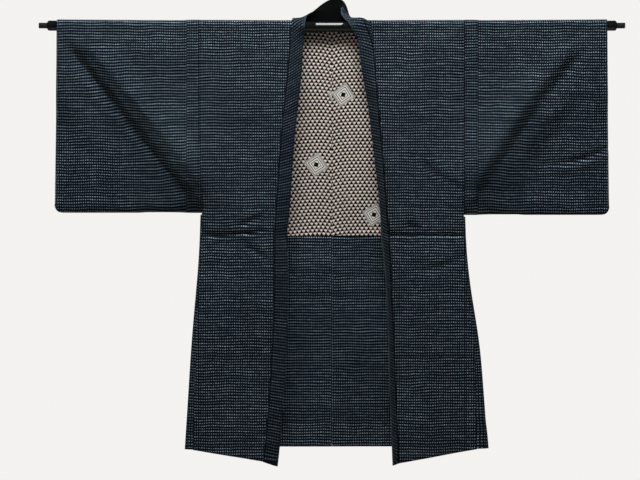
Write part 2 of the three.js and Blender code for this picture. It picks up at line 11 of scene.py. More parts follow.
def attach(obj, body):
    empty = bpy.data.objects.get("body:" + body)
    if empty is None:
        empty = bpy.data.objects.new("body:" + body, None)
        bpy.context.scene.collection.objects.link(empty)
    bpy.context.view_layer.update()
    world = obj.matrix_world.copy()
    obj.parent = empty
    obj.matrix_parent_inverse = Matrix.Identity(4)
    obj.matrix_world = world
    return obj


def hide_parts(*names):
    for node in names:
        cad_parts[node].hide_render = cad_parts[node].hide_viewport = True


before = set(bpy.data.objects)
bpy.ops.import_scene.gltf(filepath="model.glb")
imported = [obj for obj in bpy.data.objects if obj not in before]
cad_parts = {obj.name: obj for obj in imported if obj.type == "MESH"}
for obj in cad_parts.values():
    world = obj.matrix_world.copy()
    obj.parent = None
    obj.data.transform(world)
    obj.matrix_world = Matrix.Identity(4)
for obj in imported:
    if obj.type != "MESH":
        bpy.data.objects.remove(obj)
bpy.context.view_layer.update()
scene = bpy.context.scene
mm = 0.001


def ease(low, high, value):
    t = np.clip((value - low) / (high - low), 0, 1)
    return t * t * (3 - 2 * t)


def readPoints(mesh):
    flat = np.empty(len(mesh.vertices) * 3)
    mesh.vertices.foreach_get("co", flat)
    return flat.reshape(-1, 3) * 1000


def writePoints(mesh, points):
    mesh.vertices.foreach_set("co", (points * mm).ravel())
    mesh.update()


def linkMesh(work, name, material):
    mesh = bpy.data.meshes.new(name)
    work.to_mesh(mesh)
    work.free()
    mesh.materials.append(material)
    piece = bpy.data.objects.new(name, mesh)
    scene.collection.objects.link(piece)
    return piece


# joins rings of points into a tube with closed ends
def closeTube(work, rings):
    sides = len(rings[0])
    for first, second in zip(rings[:-1], rings[1:]):
        for k in range(sides):
            after = (k + 1) % sides
            work.faces.new((first[k], first[after], second[after], second[k]))
    work.faces.new(rings[0])
    work.faces.new(rings[-1][::-1])


# what a ray meets first, such as the cloth that a stitch is sewn to
def rayTree(piece):
    mesh = piece.data
    return BVHTree.FromPolygons([v.co for v in mesh.vertices], [p.vertices for p in mesh.polygons])


def keepPiece(piece, *nodes, slotName):
    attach(piece, "root")
    if nodes:
        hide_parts(*nodes)
    return piece


def join(tree, value, socket):
    if isinstance(value, bpy.types.NodeSocket):
        tree.links.new(value, socket)
    else:
        socket.default_value = value


def calc(tree, operation, *values):
    node = tree.nodes.new("ShaderNodeMath")
    node.operation = operation
    for value, socket in zip(values, node.inputs):
        join(tree, value, socket)
    return node.outputs[0]


def vector(tree, x, y, z=0.0):
    node = tree.nodes.new("ShaderNodeCombineXYZ")
    for value, socket in zip((x, y, z), node.inputs):
        join(tree, value, socket)
    return node.outputs[0]


def vectorCalc(tree, operation, first, second):
    node = tree.nodes.new("ShaderNodeVectorMath")
    node.operation = operation
    join(tree, first, node.inputs[0])
    join(tree, second, node.inputs["Scale" if operation == "SCALE" else 1])
    return node.outputs[0]


def split(tree, value):
    node = tree.nodes.new("ShaderNodeSeparateXYZ")
    join(tree, value, node.inputs[0])
    return node.outputs


def noise(tree, place, scale, detail=2.0, roughness=0.5):
    node = tree.nodes.new("ShaderNodeTexNoise")
    node.inputs["Scale"].default_value = scale
    node.inputs["Detail"].default_value = detail
    node.inputs["Roughness"].default_value = roughness
    join(tree, place, node.inputs["Vector"])
    return node.outputs["Fac"]


def chance(tree, place):
    node = tree.nodes.new("ShaderNodeTexWhiteNoise")
    node.noise_dimensions = "3D"
    join(tree, place, node.inputs["Vector"])
    return node.outputs["Value"]


def span(tree, value, low, high, newLow, newHigh):
    node = tree.nodes.new("ShaderNodeMapRange")
    for item, socket in zip((value, low, high, newLow, newHigh), node.inputs):
        join(tree, item, socket)
    return node.outputs[0]


def blend(tree, amount, first, second):
    node = tree.nodes.new("ShaderNodeMix")
    node.data_type = "RGBA"
    join(tree, amount, node.inputs[0])
    join(tree, first, node.inputs[6])
    join(tree, second, node.inputs[7])
    return node.outputs[2]


# 1 inside the given half size, falling to 0 over a soft rim
def inside(tree, distance, halfSize, rim):
    gap = calc(tree, "SUBTRACT", halfSize, calc(tree, "ABSOLUTE", distance))
    return span(tree, gap, -rim, rim, 0.0, 1.0)


# how far a place lies from the middle of its own repeat
def offMiddle(tree, repeats, pitch):
    return calc(tree, "MULTIPLY", calc(tree, "SUBTRACT", calc(tree, "FRACT", repeats), 0.5), pitch)


def newGroup(name, takes, gives):
    tree = bpy.data.node_groups.new(name, "ShaderNodeTree")
    for label, kind, value in takes:
        socket = tree.interface.new_socket(name=label, in_out="INPUT",
                                           socket_type="NodeSocket" + kind)
        if value is not None:
            socket.default_value = value
    for label, kind in gives:
        tree.interface.new_socket(name=label, in_out="OUTPUT", socket_type="NodeSocket" + kind)
    given = tree.nodes.new("NodeGroupInput").outputs
    made = tree.nodes.new("NodeGroupOutput").inputs
    return tree, given, made


def useGroup(tree, group, **values):
    node = tree.nodes.new("ShaderNodeGroup")
    node.node_tree = group
    for key, value in values.items():
        label = "".join(" " + c if c.isupper() else c for c in key).strip()
        join(tree, value, node.inputs[label[0].upper() + label[1:]])
    return node.outputs


# rows of short pale weft floats on a dark ground; all lengths in millimetres of cloth
def dottedWeaveGroup():
    tree, given, made = newGroup(
        "dottedWeave",
        [("Cloth", "Vector", None), ("Row Spacing", "Float", 6.5), ("Dot Spacing", "Float", 4.6),
         ("Dot Length", "Float", 2.6), ("Dot Height", "Float", 1.6), ("Wander", "Float", 1.5),
         ("Unevenness", "Float", 0.6), ("Line", "Float", 0.1)],
        [("Dots", "Float"), ("Height", "Float")])
    place = split(tree, given["Cloth"])
    drift = noise(tree, given["Cloth"], 0.015, 2.0)
    wandered = calc(tree, "SUBTRACT", drift, 0.5)
    along = calc(tree, "MULTIPLY_ADD", wandered, given["Wander"], place["Y"])
    rows = calc(tree, "DIVIDE", along, given["Row Spacing"])
    row = calc(tree, "FLOOR", rows)
    fromRow = offMiddle(tree, rows, given["Row Spacing"])
    rowChance = chance(tree, vector(tree, row, 3.7))
    # the dots stand in columns, each row only a little out of step with the next
    sway = calc(tree, "MULTIPLY_ADD", drift, 0.3, calc(tree, "MULTIPLY", rowChance, 0.2))
    shifted = calc(tree, "ADD", calc(tree, "DIVIDE", place["X"], given["Dot Spacing"]), sway)
    dot = calc(tree, "FLOOR", shifted)
    fromDot = offMiddle(tree, shifted, given["Dot Spacing"])
    dotChance = chance(tree, vector(tree, dot, row))
    share = span(tree, dotChance, 0.0, 1.0, 0.42, 0.58)
    halfLength = calc(tree, "MULTIPLY", given["Dot Length"], share)
    halfHeight = calc(tree, "MULTIPLY", given["Dot Height"], 0.5)
    inLine = inside(tree, fromRow, halfHeight, 0.45)
    inDot = calc(tree, "MULTIPLY", inside(tree, fromDot, halfLength, 0.5), inLine)
    # stretches of a row that are brighter or dimmer than the rest, and single weak dots
    streakPlace = vector(tree, calc(tree, "MULTIPLY", place["X"], 0.022), calc(tree, "MULTIPLY", row, 0.83))
    streak = noise(tree, streakPlace, 1.0, 3.0)
    streakTone = span(tree, streak, 0.3, 0.66, 0.25, 1.0)
    rowTone = span(tree, rowChance, 0.0, 0.55, 0.45, 1.0)
    dotTone = span(tree, dotChance, 0.0, 1.0, 0.6, 1.0)
    tone = calc(tree, "MULTIPLY", streakTone, calc(tree, "MULTIPLY", rowTone, dotTone))
    uneven = calc(tree, "ADD", calc(tree, "MULTIPLY", given["Unevenness"], tone),
                  calc(tree, "SUBTRACT", 1.0, given["Unevenness"]))
    faint = calc(tree, "MULTIPLY", inLine, given["Line"])
    dots = calc(tree, "MULTIPLY", calc(tree, "MAXIMUM", inDot, faint), uneven)
    join(tree, dots, made["Dots"])
    join(tree, calc(tree, "MAXIMUM", inDot, calc(tree, "MULTIPLY", inLine, 0.4)), made["Height"])
    return tree


# plain weave of fine threads, for close views
def threadWeaveGroup():
    tree, given, made = newGroup(
        "threadWeave",
        [("Cloth", "Vector", None), ("Thread Width", "Float", 0.55), ("Slubs", "Float", 0.4)],
        [("Height", "Float"), ("Tone", "Float")])
    place = split(tree, given["Cloth"])
    turns = calc(tree, "DIVIDE", math.pi, given["Thread Width"])
    warp = calc(tree, "ABSOLUTE", calc(tree, "SINE", calc(tree, "MULTIPLY", place["X"], turns)))
    weft = calc(tree, "ABSOLUTE", calc(tree, "SINE", calc(tree, "MULTIPLY", place["Y"], turns)))
    threads = calc(tree, "MULTIPLY", warp, weft)
    # slubs are long across the cloth and thin along it
    across = calc(tree, "MULTIPLY", place["X"], 0.06)
    slub = noise(tree, vector(tree, across, calc(tree, "MULTIPLY", place["Y"], 0.9)), 1.0, 3.0)
    height = calc(tree, "MULTIPLY_ADD", slub, given["Slubs"], threads)
    join(tree, height, made["Height"])
    join(tree, span(tree, height, 0.0, 1.4, 0.78, 1.12), made["Tone"])
    return tree


# large soft patches where cloth or finish has faded or gathered dust
def patchesGroup():
    tree, given, made = newGroup(
        "patches",
        [("Place", "Vector", None), ("Size", "Float", 140.0), ("Contrast", "Float", 0.2)],
        [("Tone", "Float"), ("Amount", "Float")])
    size = vector(tree, given["Size"], given["Size"], given["Size"])
    cloud = noise(tree, vectorCalc(tree, "DIVIDE", given["Place"], size), 1.0, 4.0, 0.55)
    amount = span(tree, cloud, 0.3, 0.7, 0.0, 1.0)
    low = calc(tree, "SUBTRACT", 1.0, given["Contrast"])
    reach = calc(tree, "MULTIPLY", given["Contrast"], 2.0)
    join(tree, calc(tree, "MULTIPLY_ADD", amount, reach, low), made["Tone"])
    join(tree, amount, made["Amount"])
    return tree


# rows of small upright triangles inside a thin net
def triangleRowsGroup():
    tree, given, made = newGroup(
        "triangleRows",
        [("Cloth", "Vector", None), ("Spacing", "Float", 10.4), ("Row Height", "Float", 7.8),
         ("Triangle", "Float", 6.2)],
        [("Triangles", "Float"), ("Net", "Float")])
    place = split(tree, given["Cloth"])
    rows = calc(tree, "DIVIDE", place["Y"], given["Row Height"])
    row = calc(tree, "FLOOR", rows)
    up = calc(tree, "FRACT", rows)
    half = calc(tree, "MULTIPLY", calc(tree, "FLOORED_MODULO", row, 2.0), 0.5)
    columns = calc(tree, "DIVIDE", place["X"], given["Spacing"])
    along = calc(tree, "ADD", columns, half)
    fromMiddle = offMiddle(tree, along, given["Spacing"])
    height = calc(tree, "MULTIPLY", up, given["Row Height"])
    chanceHere = chance(tree, vector(tree, calc(tree, "FLOOR", along), row))
    size = calc(tree, "MULTIPLY", given["Triangle"], span(tree, chanceHere, 0.0, 1.0, 0.94, 1.04))
    rise = calc(tree, "SUBTRACT", height, 0.5)
    # the sides lean in by 0.64 for each millimetre of height
    slope = calc(tree, "MULTIPLY_ADD", rise, -0.64, calc(tree, "MULTIPLY", size, 0.5))
    wide = inside(tree, fromMiddle, slope, 0.12)
    above = span(tree, rise, -0.12, 0.12, 0.0, 1.0)
    join(tree, calc(tree, "MULTIPLY", wide, above), made["Triangles"])
    halfRows = calc(tree, "MULTIPLY", rows, 0.5)
    lines = []
    for sign in ("ADD", "SUBTRACT"):
        wave = calc(tree, "FRACT", calc(tree, sign, columns, halfRows))
        lines.append(inside(tree, calc(tree, "SUBTRACT", wave, 0.5), 0.08, 0.04))
    join(tree, calc(tree, "MAXIMUM", *lines), made["Net"])
    return tree


# rings are where each band of the diamond starts, as a share of its half size, and how dark it is;
# core is where the dark square in its middle ends, in millimetres
medallionShape = {
    "rings": [(0.0, 0.0), (0.36, 0.9), (0.44, 0.0), (0.60, 1.0), (0.68, 0.0), (0.77, 0.5)],
    "core": (4.8, 5.4),
}


# one medallion of diamonds set one inside another, with a dark square in the middle
def medallionGroup():
    tree, given, made = newGroup(
        "medallion",
        [("Cloth", "Vector", None), ("Middle", "Vector", None), ("Size", "Float", 52.0),
         ("Turn", "Float", 0.25)],
        [("Area", "Float"), ("Dark", "Float")])
    turned = tree.nodes.new("ShaderNodeVectorRotate")
    turned.rotation_type = "Z_AXIS"
    join(tree, vectorCalc(tree, "SUBTRACT", given["Cloth"], given["Middle"]), turned.inputs["Vector"])
    join(tree, given["Turn"], turned.inputs["Angle"])
    place = split(tree, turned.outputs[0])
    across = calc(tree, "ABSOLUTE", place["X"])
    up = calc(tree, "ABSOLUTE", place["Y"])
    halfSize = calc(tree, "MULTIPLY", given["Size"], 0.5)
    diamond = calc(tree, "DIVIDE", calc(tree, "ADD", across, up), halfSize)
    area = span(tree, diamond, 0.97, 1.03, 1.0, 0.0)
    rings = tree.nodes.new("ShaderNodeValToRGB")
    rings.color_ramp.interpolation = "CONSTANT"
    stops = rings.color_ramp.elements
    for k, (start, dark) in enumerate(medallionShape["rings"]):
        stop = stops[k] if k < 2 else stops.new(start)
        stop.position = start
        stop.color = (dark, dark, dark, 1)
    join(tree, diamond, rings.inputs["Fac"])
    square = calc(tree, "MAXIMUM", across, up)
    core = span(tree, square, *medallionShape["core"], 1.0, 0.0)
    join(tree, area, made["Area"])
    join(tree, calc(tree, "MAXIMUM", rings.outputs["Color"], core), made["Dark"])
    return tree


# painted shade in the groove along a seam that lies at a given distance across the cloth
def seamShadeGroup():
    tree, given, made = newGroup(
        "paintedSeamShade",
        [("Cloth", "Vector", None), ("Across", "Float", 0.0), ("Half Width", "Float", 1.6),
         ("Depth", "Float", 0.6)],
        [("Shade", "Float")])
    place = split(tree, given["Cloth"])
    away = calc(tree, "SUBTRACT", calc(tree, "ABSOLUTE", place["X"]), given["Across"])
    broken = span(tree, noise(tree, given["Cloth"], 0.03, 2.0), 0.3, 0.65, 0.45, 1.0)
    groove = calc(tree, "MULTIPLY", inside(tree, away, given["Half Width"], 0.9), given["Depth"])
    join(tree, calc(tree, "MULTIPLY", groove, broken), made["Shade"])
    return tree


dottedWeave = dottedWeaveGroup()
threadWeave = threadWeaveGroup()
patches = patchesGroup()
triangleRows = triangleRowsGroup()
medallion = medallionGroup()
paintedSeamShade = seamShadeGroup()
print("pattern groups ready")


def newMaterial(name):
    material = bpy.data.materials.new(name)
    material.use_nodes = True
    tree = material.node_tree
    return material, tree, tree.nodes["Principled BSDF"]


def clothPlace(tree):
    node = tree.nodes.new("ShaderNodeUVMap")
    node.uv_map = "cloth"
    return node.outputs[0]


def objectPlace(tree):
    return tree.nodes.new("ShaderNodeTexCoord").outputs["Object"]


def bump(tree, height, strength, distance):
    node = tree.nodes.new("ShaderNodeBump")
    node.inputs["Strength"].default_value = strength
    node.inputs["Distance"].default_value = distance
    join(tree, height, node.inputs["Height"])
    return node.outputs["Normal"]


def darkCotton(name, look):
    material, tree, shader = newMaterial(name)
    cloth = clothPlace(tree)
    weave = ("rowSpacing", "dotSpacing", "dotLength", "dotHeight", "wander", "unevenness", "line")
    dots = useGroup(tree, dottedWeave, cloth=cloth, **{key: look[key] for key in weave})
    threads = useGroup(tree, threadWeave, cloth=cloth, threadWidth=0.55, slubs=0.5)
    fading = useGroup(tree, patches, place=cloth, size=look["patchSize"], contrast=look["patchContrast"])
    ground = blend(tree, fading["Amount"], look["ground"], look["fadedGround"])
    # the wear attribute lightens towards the worn ground: real wear on most pieces, a painted highlight on
    # the collar's fold edges
    wearNode = tree.nodes.new("ShaderNodeAttribute")
    wearNode.attribute_name = "wear"
    wear = calc(tree, "MULTIPLY", wearNode.outputs["Fac"], look["wear"])
    worn = blend(tree, wear, ground, look["wornAndLitGround"])
    shaded = vectorCalc(tree, "SCALE", worn, threads["Tone"])
    dotTone = calc(tree, "MULTIPLY", dots["Dots"], fading["Tone"])
    colour = blend(tree, dotTone, shaded, look["dots"])
    # painted shade darkens the cloth along each seam groove
    for across, depth in look["seams"]:
        groove = useGroup(tree, paintedSeamShade, cloth=cloth, across=across, depth=depth)
        colour = blend(tree, groove["Shade"], colour, look["groove"])
    join(tree, colour, shader.inputs["Base Color"])
    threadHeight = calc(tree, "MULTIPLY", threads["Height"], 0.35)
    height = calc(tree, "MULTIPLY_ADD", dots["Height"], 0.7, threadHeight)
    join(tree, bump(tree, height, look["relief"], 0.0006), shader.inputs["Normal"])
    join(tree, span(tree, fading["Amount"], 0.0, 1.0, look["roughness"] - 0.05, look["roughness"] + 0.05),
         shader.inputs["Roughness"])
    shader.inputs["Specular IOR Level"].default_value = 0.06
    shader.inputs["Sheen Weight"].default_value = look["sheen"]
    shader.inputs["Sheen Roughness"].default_value = 0.6
    shader.inputs["Sheen Tint"].default_value = (0.75, 0.86, 1.0, 1.0)
    return material


haoriLook = {
    "ground": (0.0026, 0.0050, 0.0096, 1), "fadedGround": (0.0042, 0.0078, 0.0145, 1),
    "wornAndLitGround": (0.018, 0.024, 0.034, 1), "dots": (0.44, 0.515, 0.565, 1),
    "rowSpacing": 6.7, "dotSpacing": 5.5, "dotLength": 2.25, "dotHeight": 2.0, "wander": 8.0,
    "unevenness": 0.8, "line": 0.03, "patchSize": 170.0, "patchContrast": 0.16, "wear": 0.8,
    "relief": 0.08, "roughness": 0.9, "sheen": 0.01,
    # painted shade in the seam grooves along the cloth: how far across it, and how deep
    "seams": [(314.0, 0.6), (343.0, 0.45)], "groove": (0.001, 0.0014, 0.002, 1),
}
haoriCloth = darkCotton("haoriCloth", haoriLook)
# the collar's cloth: its darker ground and dimmer dots are painted shade, its far lighter worn ground is a
# painted highlight on the fold edges, and its seam entry is a painted shadow along the outer edge where the
# collar stands off the front
shadedCollarLook = {
    **haoriLook, "ground": (0.0022, 0.0042, 0.0078, 1), "wornAndLitGround": (0.10, 0.122, 0.138, 1),
    "dots": (0.19, 0.222, 0.243, 1), "rowSpacing": 7.0, "line": 0.32, "wander": 3.0, "seams": [(33.0, 1.0)],
}
collarCloth = darkCotton("collarCloth", shadedCollarLook)
# painted shade: a near-black copy of the cloth, with almost no dots, for the collar's inner face round the
# neck, where the neck's shade falls
neckShadeLook = {
    **haoriLook, "ground": (0.0016, 0.0018, 0.0018, 1), "fadedGround": (0.0028, 0.0030, 0.0030, 1),
    "dots": (0.004, 0.0045, 0.0045, 1), "wear": 0.0, "sheen": 0.0, "seams": [],
}
neckShadeCloth = darkCotton("neckShadeCloth", neckShadeLook)


liningLook = {
    "tan": (0.56, 0.44, 0.37, 1), "tanFaded": (0.66, 0.53, 0.45, 1), "pale": (0.99, 0.88, 0.79, 1),
    "black": (0.002, 0.0018, 0.002, 1), "medallionPale": (0.80, 0.74, 0.67, 1), "roughness": 0.7,
    # middles of the medallions in the cloth, in millimetres from the centre back and the rod
    "medallions": [(26, -160), (-38, -323), (101, -446), (-132, -118), (-214, -292), (-160, -446),
                   (176, -268), (250, -96), (262, -430), (-262, -470)],
    "spacing": 10.4, "rowHeight": 7.8, "triangle": 11.1, "medallionSize": 58.0,
}


def liningMaterial(look):
    material, tree, shader = newMaterial("liningCloth")
    cloth = clothPlace(tree)
    rows = useGroup(tree, triangleRows, cloth=cloth, spacing=look["spacing"], rowHeight=look["rowHeight"],
                    triangle=look["triangle"])
    threads = useGroup(tree, threadWeave, cloth=cloth, threadWidth=0.35, slubs=0.25)
    fading = useGroup(tree, patches, place=cloth, size=90.0, contrast=0.1)
    tan = blend(tree, fading["Amount"], look["tan"], look["tanFaded"])
    netted = blend(tree, rows["Net"], tan, look["pale"])
    colour = blend(tree, rows["Triangles"], netted, look["black"])
    for x, z in look["medallions"]:
        shape = useGroup(tree, medallion, cloth=cloth, middle=(x, z, 0), size=look["medallionSize"])
        figure = blend(tree, shape["Dark"], look["medallionPale"], look["black"])
        colour = blend(tree, shape["Area"], colour, figure)
    join(tree, vectorCalc(tree, "SCALE", colour, threads["Tone"]), shader.inputs["Base Color"])
    join(tree, bump(tree, threads["Height"], 0.25, 0.0003), shader.inputs["Normal"])
    join(tree, span(tree, fading["Amount"], 0.0, 1.0, look["roughness"] - 0.06, look["roughness"] + 0.06),
         shader.inputs["Roughness"])
    shader.inputs["Specular IOR Level"].default_value = 0.12
    return material


liningCloth = liningMaterial(liningLook)


rodLook = {
    "black": (0.004, 0.0042, 0.0042, 1), "dusty": (0.02, 0.02, 0.019, 1), "roughness": 0.4, "dust": 0.3,
    "coat": 0.5, "coatRoughness": 0.012, "specular": 0.0,
}
pinLook = {
    **rodLook, "black": (0.014, 0.014, 0.014, 1), "roughness": 0.5, "dust": 0.6, "coat": 0.2,
    "coatRoughness": 0.2, "specular": 0.15,
}


def paintedMetal(name, look):
    material, tree, shader = newMaterial(name)
    place = objectPlace(tree)
    dust = useGroup(tree, patches, place=place, size=0.03, contrast=0.3)
    grain = useGroup(tree, patches, place=place, size=0.0016, contrast=0.3)
    grainy = calc(tree, "MULTIPLY", dust["Amount"], grain["Amount"])
    amount = calc(tree, "MULTIPLY", grainy, look["dust"])
    join(tree, blend(tree, amount, look["black"], look["dusty"]), shader.inputs["Base Color"])
    join(tree, calc(tree, "MULTIPLY_ADD", amount, 0.35, look["roughness"]), shader.inputs["Roughness"])
    join(tree, bump(tree, grain["Amount"], 0.05, 0.0001), shader.inputs["Normal"])
    shader.inputs["Specular IOR Level"].default_value = look["specular"]
    shader.inputs["Coat Weight"].default_value = look["coat"]
    shader.inputs["Coat Roughness"].default_value = look["coatRoughness"]
    return material


rodLacquer = paintedMetal("rodLacquer", rodLook)
pinPaint = paintedMetal("pinPaint", pinLook)


def threadMaterial(name, colour, pale):
    material, tree, shader = newMaterial(name)
    place = objectPlace(tree)
    wear = useGroup(tree, patches, place=place, size=0.004, contrast=0.4)
    join(tree, blend(tree, wear["Amount"], colour, pale), shader.inputs["Base Color"])
    join(tree, bump(tree, wear["Amount"], 0.3, 0.0001), shader.inputs["Normal"])
    shader.inputs["Roughness"].default_value = 0.7
    shader.inputs["Sheen Weight"].default_value = 0.2
    return material


darkThread = threadMaterial("darkThread", (0.012, 0.018, 0.03, 1), (0.05, 0.06, 0.075, 1))
print("materials ready")


# a crease from one end to the other, in millimetres: how far its middle bows aside, how far the cloth
# stands out (or sinks in), how far it spreads to either side, and the shares of its length by which it
# has grown and from which it fades
def crease(start, end, bow, depth, spread, ends=(0.3, 0.66)):
    return {"start": start, "end": end, "bow": bow, "depth": depth, "spread": spread, "ends": ends}


# creases of the whole front, sleeves included
frontCreases = [
    # left sleeve: the crest of its big fold, the dark slope below it, and its sharp thin start
    crease((-604, -20), (-290, -400), bow=-8, depth=7.6, spread=(12, 32), ends=(0.08, 0.9)),
    crease((-632, -52), (-312, -446), bow=-8, depth=-9.0, spread=(19, 11), ends=(0.1, 0.96)),
    crease((-632, -30), (-462, -252), bow=-4, depth=-5.8, spread=(10, 5.5), ends=(0.12, 0.6)),
    crease((-492, -206), (-302, -432), bow=3, depth=-6.4, spread=(9, 5.5), ends=(0.3, 0.9)),
    crease((-560, -70), (-372, -300), bow=-6, depth=3.2, spread=(20, 34)),
    crease((-470, -40), (-345, -210), bow=8, depth=-1.6, spread=(16, 20)),
    crease((-630, -180), (-430, -402), bow=-10, depth=1.6, spread=(22, 26)),
    crease((-648, -290), (-560, -300), bow=3, depth=-1.5, spread=(10, 14)),
    # right sleeve: a softer fold, and a sharp short one from the cuff
    crease((586, -28), (318, -410), bow=14, depth=5.2, spread=(40, 11), ends=(0.12, 0.8)),
    crease((604, -46), (336, -440), bow=14, depth=-7.4, spread=(10, 24), ends=(0.15, 0.85)),
    crease((394, -306), (334, -428), bow=3, depth=-3.0, spread=(6, 9), ends=(0.3, 0.8)),
    crease((540, -60), (372, -290), bow=6, depth=2.4, spread=(26, 24)),
    crease((664, -284), (478, -324), bow=-14, depth=-4.8, spread=(5, 8), ends=(0.06, 0.5)),
    crease((660, -298), (490, -344), bow=-12, depth=3.4, spread=(8, 12), ends=(0.06, 0.6)),
    crease((468, -30), (350, -190), bow=-6, depth=-1.4, spread=(18, 15)),
    crease((640, -130), (520, -190), bow=-6, depth=1.2, spread=(18, 18)),
    # shoulders: rows ripple where the cloth hangs from the rod
    crease((-430, -20), (-415, -150), bow=4, depth=1.5, spread=(20, 18)),
    crease((-255, -22), (-262, -240), bow=-7, depth=1.5, spread=(20, 22)),
    crease((-170, -25), (-182, -190), bow=5, depth=-1.3, spread=(14, 18)),
    crease((182, -25), (196, -220), bow=-6, depth=1.4, spread=(18, 22)),
    crease((262, -25), (250, -250), bow=6, depth=-1.4, spread=(20, 15)),
    crease((412, -25), (404, -150), bow=4, depth=1.4, spread=(20, 16)),
    # the crease from folding in half, and the wrinkles off it
    crease((-312, -497), (-146, -484), bow=4, depth=-5.2, spread=(4, 6)),
    crease((-306, -506), (-160, -492), bow=4, depth=3.4, spread=(7, 5)),
    crease((-236, -478), (-148, -438), bow=5, depth=-4.6, spread=(6, 8)),
    crease((-226, -462), (-150, -424), bow=5, depth=2.0, spread=(8, 8)),
    crease((-216, -520), (-142, -566), bow=-6, depth=-4.8, spread=(6, 8)),
    crease((122, -495), (330, -499), bow=-1, depth=-3.6, spread=(3.5, 4.5), ends=(0.06, 0.94)),
    crease((122, -503), (330, -507), bow=-1, depth=1.5, spread=(4, 6), ends=(0.06, 0.94)),
    crease((330, -536), (190, -580), bow=-10, depth=-3.2, spread=(7, 7), ends=(0.1, 0.7)),
    crease((326, -550), (206, -594), bow=-9, depth=0.8, spread=(8, 9)),
    crease((172, -470), (216, -482), bow=0, depth=-5.4, spread=(7, 7)),
    crease((190, -300), (316, -392), bow=10, depth=-4.0, spread=(7, 9)),
    crease((204, -292), (318, -372), bow=10, depth=2.4, spread=(9, 12)),
    crease((-318, -700), (-296, -960), bow=6, depth=1.5, spread=(16, 20)),
    crease((-196, -610), (-176, -940), bow=-8, depth=-1.5, spread=(20, 22)),
    crease((206, -620), (190, -980), bow=8, depth=1.6, spread=(20, 26)),
    crease((300, -640), (316, -960), bow=-6, depth=-1.5, spread=(18, 22)),
]
backCreases = [
    crease((-600, -70), (-345, -410), bow=10, depth=-3.0, spread=(16, 26)),
    crease((-552, -60), (-392, -286), bow=-6, depth=2.2, spread=(22, 30)),
    crease((-640, -200), (-480, -330), bow=6, depth=-1.4, spread=(14, 12)),
    crease((604, -66), (352, -404), bow=-12, depth=-3.2, spread=(24, 15)),
    crease((556, -64), (388, -300), bow=8, depth=2.0, spread=(28, 22)),
    crease((640, -250), (500, -300), bow=-5, depth=-1.4, spread=(10, 12)),
    crease((-308, -496), (-20, -492), bow=4, depth=-1.7, spread=(5, 7)),
    crease((14, -493), (310, -499), bow=-4, depth=-2.0, spread=(6, 5)),
    crease((40, -502), (130, -520), bow=3, depth=1.3, spread=(6, 8)),
    crease((-262, -30), (-236, -300), bow=8, depth=1.8, spread=(22, 26)),
    crease((-120, -40), (-60, -380), bow=-12, depth=-1.6, spread=(22, 20)),
    crease((110, -40), (64, -360), bow=10, depth=1.6, spread=(18, 24)),
    crease((250, -30), (232, -310), bow=-8, depth=-1.5, spread=(22, 22)),
    crease((-240, -560), (-222, -930), bow=8, depth=1.8, spread=(24, 26)),
    crease((-70, -600), (-96, -900), bow=-8, depth=-1.5, spread=(26, 22)),
    crease((92, -580), (126, -940), bow=10, depth=1.6, spread=(24, 30)),
    crease((236, -620), (220, -930), bow=-6, depth=-1.4, spread=(20, 24)),
]


def creaseRelief(x, z, creases):
    total = np.zeros_like(x)
    for fold in creases:
        (x0, z0), (x1, z1) = fold["start"], fold["end"]
        runX, runZ = x1 - x0, z1 - z0
        length = math.hypot(runX, runZ)
        along = ((x - x0) * runX + (z - z0) * runZ) / length**2
        across = ((x - x0) * runZ - (z - z0) * runX) / length
        across = across - fold["bow"] * 4 * np.clip(along, 0, 1) * (1 - np.clip(along, 0, 1))
        width = np.where(across > 0, *fold["spread"])
        grown, fading = fold["ends"]
        ends = ease(-0.04, grown, along) * (1 - ease(fading, 1.06, along))
        total += fold["depth"] * ends * np.exp(-((across / width) ** 2))
    return total


# how the cloth hangs: calm down to here and free from there, the band in which the cuff is sewn shut,
# half the way between the layers, the unevenness of front and back, and how far rows follow the folds
hang = {
    "calm": 16, "free": 70, "shutAcross": (560, 640), "shutBelow": (150, 215), "layer": 5,
    "frontUneven": 0.55, "backUneven": 0.6, "rowDraw": 0.35,
}


# low slow unevenness, so that no stretch of cloth is quite flat
def slowRelief(x, z, seed, height):
    pick = random.Random(seed)
    total = np.zeros_like(x)
    for _ in range(7):
        reach = pick.uniform(70, 210)
        turn = pick.uniform(-0.9, 0.9)
        shift = pick.uniform(0, 2 * math.pi)
        total += np.sin(2 * math.pi * (x * math.cos(turn) + z * math.sin(turn) * 0.6) / reach + shift)
    return total * height / 2.6


# moves every layer out or in together, so that lining, turned-up cloth and back stay as they lie
def settleCloth(points):
    x, y, z = points.T
    away = ease(hang["calm"], hang["free"], -z)
    front = -away * (creaseRelief(x, z, frontCreases) + slowRelief(x, z, 4, hang["frontUneven"]))
    back = away * (creaseRelief(x, z, backCreases) + slowRelief(x, z, 9, hang["backUneven"]))
    shut = ease(*hang["shutAcross"], np.abs(x)) * ease(*hang["shutBelow"], -z)
    back = back * (1 - shut) + front * shut
    share = 0.5 + 0.5 * np.clip(y / hang["layer"], -1, 1)
    moved = points.copy()
    moved[:, 1] += front * (1 - share) + back * share
    return moved


# how far the rows are drawn along with the cloth where it stands out of the plane
def drawnRows(points):
    return hang["rowDraw"] * (settleCloth(points) - points)[:, 1] * np.sign(points[:, 1])


